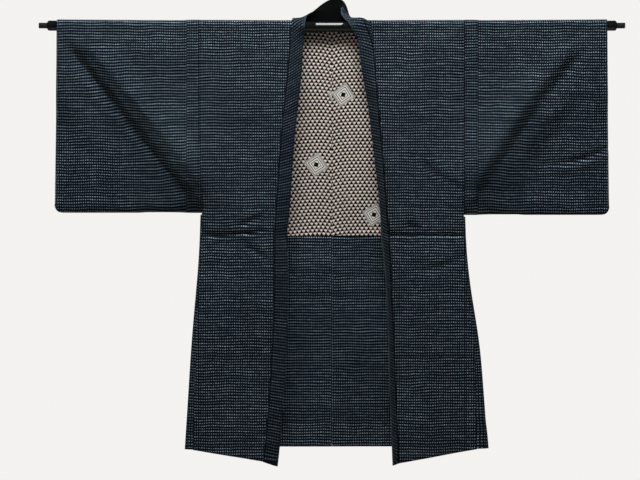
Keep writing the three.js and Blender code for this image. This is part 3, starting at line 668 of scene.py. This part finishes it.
# a finer, rounder shell on a node's own form; its rims stay crisp
def smoothCopy(node, name, levels, sharpAngle=60):
    work = bmesh.new()
    work.from_mesh(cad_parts[node].data)
    bmesh.ops.remove_doubles(work, verts=work.verts, dist=1e-6)
    bmesh.ops.join_triangles(work, faces=work.faces, angle_face_threshold=math.radians(48),
                             angle_shape_threshold=math.radians(75))
    crisp = work.edges.layers.float.new("crease_edge")
    for edge in work.edges:
        if len(edge.link_faces) == 2 and edge.calc_face_angle(0) > math.radians(sharpAngle):
            edge[crisp] = 1
    mesh = bpy.data.meshes.new(name)
    work.to_mesh(mesh)
    work.free()
    piece = bpy.data.objects.new(name, mesh)
    scene.collection.objects.link(piece)
    rounding = piece.modifiers.new("rounding", "SUBSURF")
    rounding.levels = rounding.render_levels = levels
    smooth = bpy.data.meshes.new_from_object(piece.evaluated_get(bpy.context.evaluated_depsgraph_get()))
    piece.modifiers.clear()
    piece.data = smooth
    bpy.data.meshes.remove(mesh)
    smooth.name = name
    smooth.shade_smooth()
    smooth.set_sharp_from_angle(angle=math.radians(50))
    return piece


# across and along the cloth in millimetres, kept as a UV map; in the faces of a strip from one
# distance to another the rows are out of step
def mapCloth(mesh, across, along, strip=None, step=0.0):
    layer = mesh.uv_layers.get("cloth") or mesh.uv_layers.new(name="cloth")
    corner = np.empty(len(mesh.loops), dtype=np.int64)
    mesh.loops.foreach_get("vertex_index", corner)
    flat = np.column_stack([across[corner], along[corner]])
    if strip:
        middle = np.empty(len(mesh.polygons) * 3)
        mesh.polygons.foreach_get("center", middle)
        away = np.abs(middle.reshape(-1, 3)[:, 0]) * 1000
        sizes = np.empty(len(mesh.polygons), dtype=np.int64)
        mesh.polygons.foreach_get("loop_total", sizes)
        flat[:, 1] += step * np.repeat((away > strip[0]) & (away < strip[1]), sizes)
    layer.data.foreach_set("uv", flat.ravel())


# real wear, and on the collar a painted highlight along its fold edges
def markWearAndHighlight(mesh, amount):
    layer = mesh.attributes.new("wear", "FLOAT", "POINT")
    layer.data.foreach_set("value", np.clip(amount, 0, 1))


def rodHeight(x):
    return -3 * (1 - (x / 673) ** 2)


# distance along the cloth over the rod: negative on the front, positive down the back
def overRod(points, radius):
    x, y, z = points.T
    level = z - rodHeight(x) * ease(-60, 0, z)
    above = radius * np.arctan2(y, np.maximum(level, 1e-6))
    below = np.sign(y) * (radius * math.pi / 2 - level)
    return np.where(level > 0, above, below)


def near(value, place, width):
    return np.exp(-(((value - place) / width) ** 2))


bodyPiece = {
    "levels": 3, "radius": 15.3, "rowShift": 0.9, "flat": (0.36, 2.53), "area": 0.68,
    "frontHem": -1011, "backHem": -996, "shoulder": 14, "storageCrease": -497,
}


def makeBody(name):
    side = -1 if name == "left" else 1
    piece = smoothCopy("body_" + name, "bodyCloth_" + name, bodyPiece["levels"])
    mesh = piece.data
    plain = readPoints(mesh)
    along = -overRod(plain, bodyPiece["radius"]) - drawnRows(plain)
    mapCloth(mesh, plain[:, 0], along + bodyPiece["rowShift"] * side)
    x, y, z = plain.T
    hem = near(z, np.where(y < 0, bodyPiece["frontHem"], bodyPiece["backHem"]), 5)
    centre = near(np.abs(x), 0, 2.5) * (y > 0)
    pressed = near(z, bodyPiece["storageCrease"], 3) * (np.abs(x) > 120)
    markWearAndHighlight(mesh, 0.7 * hem + 0.5 * centre + 0.4 * near(z, bodyPiece["shoulder"], 5) + 0.25 * pressed)
    writePoints(mesh, settleCloth(plain))
    mesh.materials.append(haoriCloth)
    return keepPiece(piece, "body_" + name, slotName="haori_cloth")


# the strip is the allowance pressed into the sleeve beside its seam, where the rows don't match
sleevePiece = {
    "levels": 2, "radius": 14.0, "rowShift": 3.0, "strip": (300, 343), "stripStep": 2.7,
    "flat": (0.37, 0.92), "area": 0.33, "cuff": 652, "shoulder": 14,
}


def makeSleeve(name):
    side = -1 if name == "left" else 1
    piece = smoothCopy("sleeve_" + name, "sleeveCloth_" + name, sleevePiece["levels"])
    mesh = piece.data
    plain = readPoints(mesh)
    along = -overRod(plain, sleevePiece["radius"]) - drawnRows(plain)
    mapCloth(mesh, plain[:, 0], along + sleevePiece["rowShift"] * side, strip=sleevePiece["strip"],
             step=sleevePiece["stripStep"])
    x, z = plain[:, 0], plain[:, 2]
    worn = 0.9 * near(np.abs(x), sleevePiece["cuff"], 3) + 0.3 * near(z, sleevePiece["shoulder"], 5)
    markWearAndHighlight(mesh, worn)
    writePoints(mesh, settleCloth(plain))
    mesh.materials.append(haoriCloth)
    return keepPiece(piece, "sleeve_" + name, slotName="haori_cloth")


gussetPiece = {
    "levels": 2, "drawnIn": 1.9, "slant": 1.7, "rowShift": 2.4, "hem": -1002, "flat": (0.062, 0.56),
    "area": 0.026,
}


def makeGusset(name):
    side = -1 if name == "left" else 1
    piece = smoothCopy("gusset_" + name, "gussetCloth_" + name, gussetPiece["levels"])
    mesh = piece.data
    plain = readPoints(mesh)
    y, z = plain[:, 1], plain[:, 2]
    mapCloth(mesh, y * gussetPiece["slant"], z + gussetPiece["rowShift"])
    markWearAndHighlight(mesh, 0.6 * near(z, gussetPiece["hem"], 4) + 0.4 * near(y, 0, 3))
    # up to the edges that it is sewn to
    plain[:, 0] -= side * gussetPiece["drawnIn"] * ease(9, 14, np.abs(y))
    writePoints(mesh, settleCloth(plain))
    mesh.materials.append(haoriCloth)
    return keepPiece(piece, "gusset_" + name, slotName="haori_cloth")


liningPiece = {
    "levels": 3, "turn": {"left": 0.10, "right": -0.01}, "pivot": -320, "dip": 8.0, "dipReach": 24,
    "flat": (0.32, 0.53), "area": 0.165,
}


def makeLining(name):
    piece = smoothCopy("lining_" + name, "liningCloth_" + name, liningPiece["levels"])
    mesh = piece.data
    plain = readPoints(mesh)
    x, z = plain[:, 0], plain[:, 2]
    turn = liningPiece["turn"][name] * ease(-60, -250, z)  # the print runs a little askew
    # and sinks towards the centre seam
    dip = liningPiece["dip"] * np.exp(-np.abs(x) / liningPiece["dipReach"])
    above = z - liningPiece["pivot"]
    across = x * np.cos(turn) + above * np.sin(turn)
    along = liningPiece["pivot"] + above * np.cos(turn) - x * np.sin(turn) + dip
    mapCloth(mesh, across, along)
    writePoints(mesh, settleCloth(plain))
    mesh.materials.append(liningCloth)
    return keepPiece(piece, "lining_" + name, slotName="lining_cloth")


# neck is the collar's fold line round the neck, from the left shoulder to the right; the tilt tables
# say how far the rows on the leaf rise for each millimetre outwards from the fold, by height; the neck
# shade tables say where the painted shade on the inner face ends on either side, by height
collarPiece = {
    "levels": 2, "flat": (0.072, 2.32), "area": 0.155, "lapped": 3.0, "foot": -1040, "foldStep": 24,
    "rowStep": 7.0, "rowSoftness": 2.5,
    "neck": [(-65, -19, -1), (-64, -10, 12), (-60, -1, 22), (-51, 9, 31), (-36, 16, 37), (-15, 20, 36),
             (4, 21, 35), (20, 20, 40), (26, 16, 48), (22, 11, 41), (21, 4, 31), (30, -6, 17),
             (40, -14, 5), (47, -19, -6)],
    "leftTilt": [(-1040, -0.14), (-850, -0.1), (-540, 0.0), (-446, 0.2), (-260, 0.5), (-120, 0.8),
                 (-30, 0.85)],
    "rightTilt": [(-1040, 0.18), (-650, 0.3), (-554, 0.34), (-446, 0.28), (-295, 0.3), (-177, 0.36),
                  (-30, 0.55)],
    "leftNeckShade": [(-1, -65), (12, -64), (22, -60), (31, -51), (60, -45)],
    "rightNeckShade": [(-6, 47), (5, 40), (17, 30), (31, 21), (41, 22), (48, 26), (60, 30)],
}


# the inner edge of a folded collar front, read off its own form from the foot up
def foldLine(points, side):
    line = []
    step = collarPiece["foldStep"]
    for z in np.arange(collarPiece["foot"] + 4, -40, step):
        level = points[(points[:, 0] * side > 0) & (np.abs(points[:, 2] - z) < step / 2)]
        if len(level):
            line.append(level[np.argsort(level[:, 0] * side)[:6]].mean(axis=0))
    return line


def makeCollar():
    piece = smoothCopy("collar", "collarCloth", collarPiece["levels"])
    mesh = piece.data
    plain = readPoints(mesh)
    left, right = foldLine(plain, -1), foldLine(plain, 1)
    neck = [np.array(point, dtype=float) for point in collarPiece["neck"]]
    path = np.array(left + neck + right[::-1])
    steps = np.linalg.norm(np.diff(path, axis=0), axis=1)
    runs = np.concatenate([[0], np.cumsum(steps)])
    places = np.arange(0, runs[-1], collarPiece["rowStep"])
    line = np.column_stack([np.interp(places, runs, path[:, k]) for k in range(3)])
    gap = np.linalg.norm(plain[:, None, :] - line[None, :, :], axis=2)
    nearest = gap.min(axis=1)
    # a soft nearest place, so that the rows run on smoothly
    weight = np.exp(-(gap - nearest[:, None]) / collarPiece["rowSoftness"])
    along = (weight * places).sum(axis=1) / weight.sum(axis=1)
    x, y, z = plain.T
    leftTop, rightTop = runs[len(left)], runs[len(left) + len(neck) - 1]
    tilts = {side: np.array(collarPiece[side + "Tilt"]).T for side in ("left", "right")}
    lean = np.where(x < 0, np.interp(z, *tilts["left"]), -np.interp(z, *tilts["right"]))
    overNeck = np.clip((along - leftTop) / (rightTop - leftTop), 0, 1)
    acrossNeck = tilts["left"][1][-1] * (1 - overNeck) - tilts["right"][1][-1] * overNeck
    lean = np.where((along > leftTop) & (along < rightTop), acrossNeck, lean)
    mapCloth(mesh, nearest, along + lean * nearest)
    edgeOn = (x > 0) * ease(440, 540, -z)  # where only the fold's edge shows
    # painted highlight: the fold's edge at the neck and the right leaf's edge, where only it shows, are
    # made much lighter through the wear attribute; the rest of the fold and the foot get light real wear
    fold = near(nearest, 0, 3) * (0.1 + 0.4 * ease(-30, 10, z)) + near(nearest, 0, 8) * edgeOn
    markWearAndHighlight(mesh, fold + 0.15 * near(z, collarPiece["foot"], 4))
    # the right leaf, seen edge on, laps over the front that it is sewn to
    plain[:, 0] += collarPiece["lapped"] * (x > 0) * ease(29, 35, -y) * ease(600, 800, -z)
    writePoints(mesh, settleCloth(plain))
    mesh.materials.append(collarCloth)
    mesh.materials.append(neckShadeCloth)
    # painted shade: faces of the inner face round the neck, between the two neck shade tables, get the
    # near-black neck material
    ends = [np.array(collarPiece[side + "NeckShade"]).T for side in ("left", "right")]
    for face in mesh.polygons:
        middle = face.center * 1000
        leftEnd, rightEnd = (np.interp(middle.z, *table) for table in ends)
        facesNeck = middle.z > 2 and middle.y > 2 and face.normal.y < 0.15
        if facesNeck and leftEnd + 1 < middle.x < rightEnd - 1:
            face.material_index = 1
    return keepPiece(piece, "collar", slotName="haori_cloth")


bodies = {name: makeBody(name) for name in ("left", "right")}
sleeves = {name: makeSleeve(name) for name in ("left", "right")}
gussets = {name: makeGusset(name) for name in ("left", "right")}
linings = {name: makeLining(name) for name in ("left", "right")}
collar = makeCollar()
print("cloth settled")


rodPiece = {"radius": 12.0, "half": 673.0, "chamfer": 3.0, "sides": 72, "steps": 26}
pinPiece = {"radius": 6.8, "length": 20.0, "sides": 40, "rim": 0.7, "gap": 0.3}


def turnedBar(name, profile, sides, material):
    work = bmesh.new()
    rings = []
    for x, radius in profile:
        ring = []
        for k in range(sides):
            angle = 2 * math.pi * k / sides
            height = rodHeight(x) + radius * math.cos(angle)
            ring.append(work.verts.new((x * mm, radius * math.sin(angle) * mm, height * mm)))
        rings.append(ring)
    closeTube(work, rings)
    bmesh.ops.recalc_face_normals(work, faces=work.faces)
    bar = linkMesh(work, name, material)
    bar.data.shade_smooth()
    bar.data.set_sharp_from_angle(angle=math.radians(28))
    return bar


def makeRod():
    half, chamfer, radius = rodPiece["half"], rodPiece["chamfer"], rodPiece["radius"]
    steps = rodPiece["steps"]
    profile = [(-half, radius - chamfer)]
    reach = half - chamfer
    profile += [(-reach + 2 * reach * k / steps, radius) for k in range(steps + 1)]
    profile.append((half, radius - chamfer))
    bar = turnedBar("rodBar", profile, rodPiece["sides"], rodLacquer)
    return keepPiece(bar, "rod_bar", slotName="rod_lacquer")


def makePin(name):
    side = -1 if name == "left" else 1
    root = rodPiece["half"] + pinPiece["gap"]
    tip = root + pinPiece["length"]
    rim, radius = pinPiece["rim"], pinPiece["radius"]
    profile = [(side * root, radius), (side * (tip - rim), radius), (side * tip, radius - rim)]
    pin = turnedBar("pin_" + name, profile, pinPiece["sides"], pinPaint)
    return keepPiece(pin, "rod_pin_" + name, slotName="pin_metal")


makeRod()
for name in ("left", "right"):
    makePin(name)
print("rod ready")


# swell says how thick a stitch is along its length, as shares of both
sewing = {
    "thread": 0.24, "stitch": 2.4, "sides": 6,
    "swell": [(0, 0.35), (0.2, 0.9), (0.5, 1.0), (0.8, 0.9), (1, 0.35)],
}


# one thin lens-shaped stitch for each pitch along a line that is dropped onto the cloth
def stitchRow(name, host, line, pitch, fromY, direction):
    tree = rayTree(host)

    def drop(place):
        return tree.ray_cast(Vector((place.x, fromY, place.z)) * mm, Vector((0, direction, 0)))[0]

    line = [Vector((x, 0, z)) for x, z in line]
    work = bmesh.new()
    pick = random.Random(len(line) * 7 + round(pitch * 10))
    sides = sewing["sides"]
    carry = pitch / 2
    for start, end in zip(line[:-1], line[1:]):
        length = (end - start).length
        heading = (end - start) / length
        while carry < length:
            middle = start + heading * (carry + pick.uniform(-0.3, 0.3))
            half = heading * sewing["stitch"] * pick.uniform(0.4, 0.55)
            first, last = drop(middle - half), drop(middle + half)
            carry += pitch
            if first is None or last is None:
                continue
            axis = (last - first).normalized()
            out = Vector((0, -direction, 0))
            aside = axis.cross(out).normalized()
            rings = []
            for share, swell in sewing["swell"]:
                centre = first.lerp(last, share) + out * sewing["thread"] * mm * (swell - 0.8)
                reach = sewing["thread"] * swell * mm
                ring = []
                for k in range(sides):
                    angle = 2 * math.pi * k / sides
                    rim = aside * math.cos(angle) * reach + out * math.sin(angle) * reach
                    ring.append(work.verts.new(centre + rim))
                rings.append(ring)
            closeTube(work, rings)
        carry -= length
    bmesh.ops.recalc_face_normals(work, faces=work.faces)
    row = linkMesh(work, name, darkThread)
    row.data.shade_smooth()
    return keepPiece(row, slotName="haori_cloth")


centreSeam = {"top": -12, "foot": -990, "half": 4, "depth": 2.07, "thick": 0.14, "steps": 90}


# the centre back's pressed seam allowance, which lies just inside the outer cloth
def makeCentreSeam():
    sides = [(rayTree(bodies["left"]), -centreSeam["half"]), (rayTree(bodies["right"]), centreSeam["half"])]
    work = bmesh.new()
    rings = []
    for z in np.linspace(centreSeam["top"], centreSeam["foot"], centreSeam["steps"]):
        found = [tree.ray_cast(Vector((x, 200, z)) * mm, Vector((0, -1, 0)))[0] for tree, x in sides]
        corners = [hit - Vector((0, (centreSeam["depth"] + back) * mm, 0))
                   for back in (0, centreSeam["thick"]) for hit in found]
        rings.append([work.verts.new(corners[k]) for k in (0, 1, 3, 2)])
    closeTube(work, rings)
    bmesh.ops.recalc_face_normals(work, faces=work.faces)
    tape = linkMesh(work, "centreSeam", haoriCloth)
    plain = readPoints(tape.data)
    mapCloth(tape.data, plain[:, 2], plain[:, 0] + 2)
    return keepPiece(tape, slotName="haori_cloth")


seamTape = makeCentreSeam()

stitches = {"left": [seamTape], "right": []}
turnUpLines = {"left": [(-305, -503), (-3, -503)], "right": [(3, -503), (307, -503)]}
for name, line in turnUpLines.items():
    stitches[name].append(stitchRow("turnUpStitches_" + name, bodies[name], line, 7.0, -2.0, 1))
frontHems = {
    "left": [(-326, -996), (-260, -1001), (-172, -1022)],
    "right": [(340, -994), (262, -1001), (166, -1024)],
}
for name, line in frontHems.items():
    stitches[name].append(stitchRow("hemStitches_" + name, bodies[name], line, 9.0, -200.0, 1))
cuffs = {
    "left": [(-646, -30), (-647, -120), (-649, -215)],
    "right": [(646, -30), (647, -120), (649, -215)],
}
cuffStitches = {name: stitchRow("cuffStitches_" + name, sleeves[name], line, 10.0, -200.0, 1)
                for name, line in cuffs.items()}
print("sewing done")


# the rod mirrors the gallery light alone
studio = {
    "floorHeight": -2.1, "floorRadius": 3.0, "floor": (0.74, 0.73, 0.70), "wall": (0.90, 0.89, 0.87, 1),
    "wallLight": 0.07, "wallGlow": (0.96, 0.96, 0.93, 1),
    "lights": [
        {"name": "keyLight", "at": (-0.15, -0.95, 1.75), "aim": (0, 0, -0.5), "size": (1.8, 0.6),
         "power": 86.0, "colour": (0.88, 0.955, 1.0), "mirrored": False},
        {"name": "fillLight", "at": (-2.6, -2.8, -0.1), "aim": (0, 0, -0.4), "size": (1.6, 1.6),
         "power": 5.0, "colour": (1.0, 0.93, 0.83), "mirrored": False},
        {"name": "rearLight", "at": (0.5, 3.0, 1.3), "aim": (0, 0, -0.5), "size": (2.0, 1.4),
         "power": 110.0, "colour": (0.96, 0.98, 1.0), "mirrored": False},
        {"name": "galleryLight", "at": (0, -1.0, 1.6), "aim": (0, -1.0, 0), "size": (0.08, 2.0),
         "power": 14.0, "colour": (1.0, 1.0, 1.0), "mirrored": True},
    ],
}


def makeFloor():
    work = bmesh.new()
    bmesh.ops.create_circle(work, cap_ends=True, segments=96, radius=studio["floorRadius"])
    for vert in work.verts:
        vert.co.z = studio["floorHeight"]
    material, tree, shader = newMaterial("paleFloor")
    cloud = useGroup(tree, patches, place=objectPlace(tree), size=0.8, contrast=0.04)
    join(tree, vectorCalc(tree, "SCALE", studio["floor"], cloud["Tone"]), shader.inputs["Base Color"])
    shader.inputs["Roughness"].default_value = 0.6
    floor = linkMesh(work, "floor", material)


def makeWorld():
    world = bpy.data.worlds.new("paleStudio")
    scene.world = world
    world.use_nodes = True
    tree = world.node_tree
    tree.nodes.clear()
    seen = tree.nodes.new("ShaderNodeBackground")
    seen.inputs["Color"].default_value = studio["wall"]
    lit = tree.nodes.new("ShaderNodeBackground")
    lit.inputs["Color"].default_value = studio["wallGlow"]
    lit.inputs["Strength"].default_value = studio["wallLight"]
    rays = tree.nodes.new("ShaderNodeLightPath")
    both = tree.nodes.new("ShaderNodeMixShader")
    out = tree.nodes.new("ShaderNodeOutputWorld")
    tree.links.new(rays.outputs["Is Camera Ray"], both.inputs[0])
    tree.links.new(lit.outputs[0], both.inputs[1])
    tree.links.new(seen.outputs[0], both.inputs[2])
    tree.links.new(both.outputs[0], out.inputs["Surface"])


def areaLight(look):
    light = bpy.data.lights.new(look["name"], "AREA")
    light.shape = "RECTANGLE"
    light.size, light.size_y = look["size"]
    light.energy = look["power"]
    light.color = look["colour"]
    lamp = bpy.data.objects.new(look["name"], light)
    lamp.location = look["at"]
    lamp.rotation_mode = "QUATERNION"
    lamp.rotation_quaternion = (Vector(look["aim"]) - Vector(look["at"])).to_track_quat("-Z", "Y")
    lamp.visible_glossy = look["mirrored"]
    scene.collection.objects.link(lamp)


makeFloor()
makeWorld()
for look in studio["lights"]:
    areaLight(look)


# the photo's own view: millimetres for each pixel in the plane of the fronts, and what its middle looks at
photoView = {
    "pixel": 2.36, "middle": (-28.3, -507.2), "away": 6.0, "frontPlane": -0.015, "wide": 640, "sensor": 36,
}


def makeCamera():
    lens = bpy.data.cameras.new("photoCamera")
    lens.sensor_width = photoView["sensor"]
    lens.lens = photoView["sensor"] * photoView["away"] / (photoView["wide"] * photoView["pixel"] * mm)
    lens.clip_start, lens.clip_end = 0.1, 100
    camera = bpy.data.objects.new("photoCamera", lens)
    camera.location = (photoView["middle"][0] * mm, photoView["frontPlane"] - photoView["away"],
                       photoView["middle"][1] * mm)
    camera.rotation_euler = (math.pi / 2, 0, 0)
    scene.collection.objects.link(camera)
    scene.camera = camera


makeCamera()
scene.view_settings.view_transform = "Standard"
print("studio ready")
